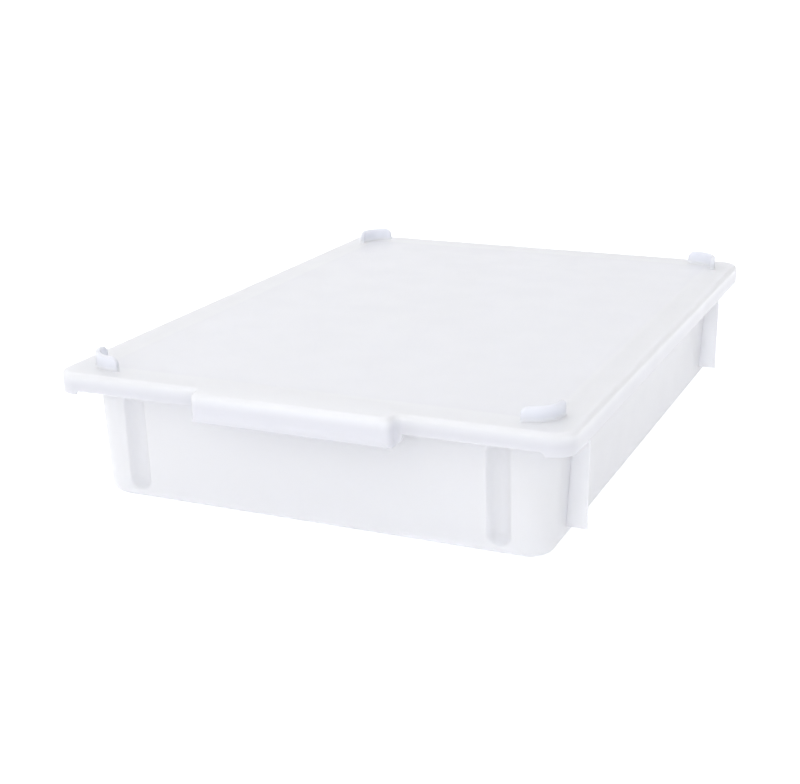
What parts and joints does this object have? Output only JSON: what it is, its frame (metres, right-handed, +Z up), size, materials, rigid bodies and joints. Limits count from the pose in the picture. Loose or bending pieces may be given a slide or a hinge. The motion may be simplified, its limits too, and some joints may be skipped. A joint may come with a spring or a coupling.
{
  "type": "stacking storage tray",
  "caption": "Shallow rectangular storage tray in milky translucent plastic and a lift-off lid with a front pull and corner ribs for stacking.",
  "frame": {"origin": "centre of the tub's footprint, on the surface that the tray stands on", "axes": "+Z up, +Y along the tray away from the lid's front pull, +X to the right seen from the front pull"},
  "size_m": [0.3172, 0.4412, 0.089],
  "materials": {
    "tray_plastic": "satin milky translucent polypropylene",
    "lid_plastic": "satin milky translucent polypropylene"
  },
  "bodies": {
    "tray": {"tray": "tray_plastic"},
    "lid": {"lid": "lid_plastic"}
  },
  "joints": [
    {"name": "lid_lift", "type": "slide", "parent": "tray", "child": "lid", "axis": [0, 0, 1], "range_m": [0, 0.15]}
  ]
}
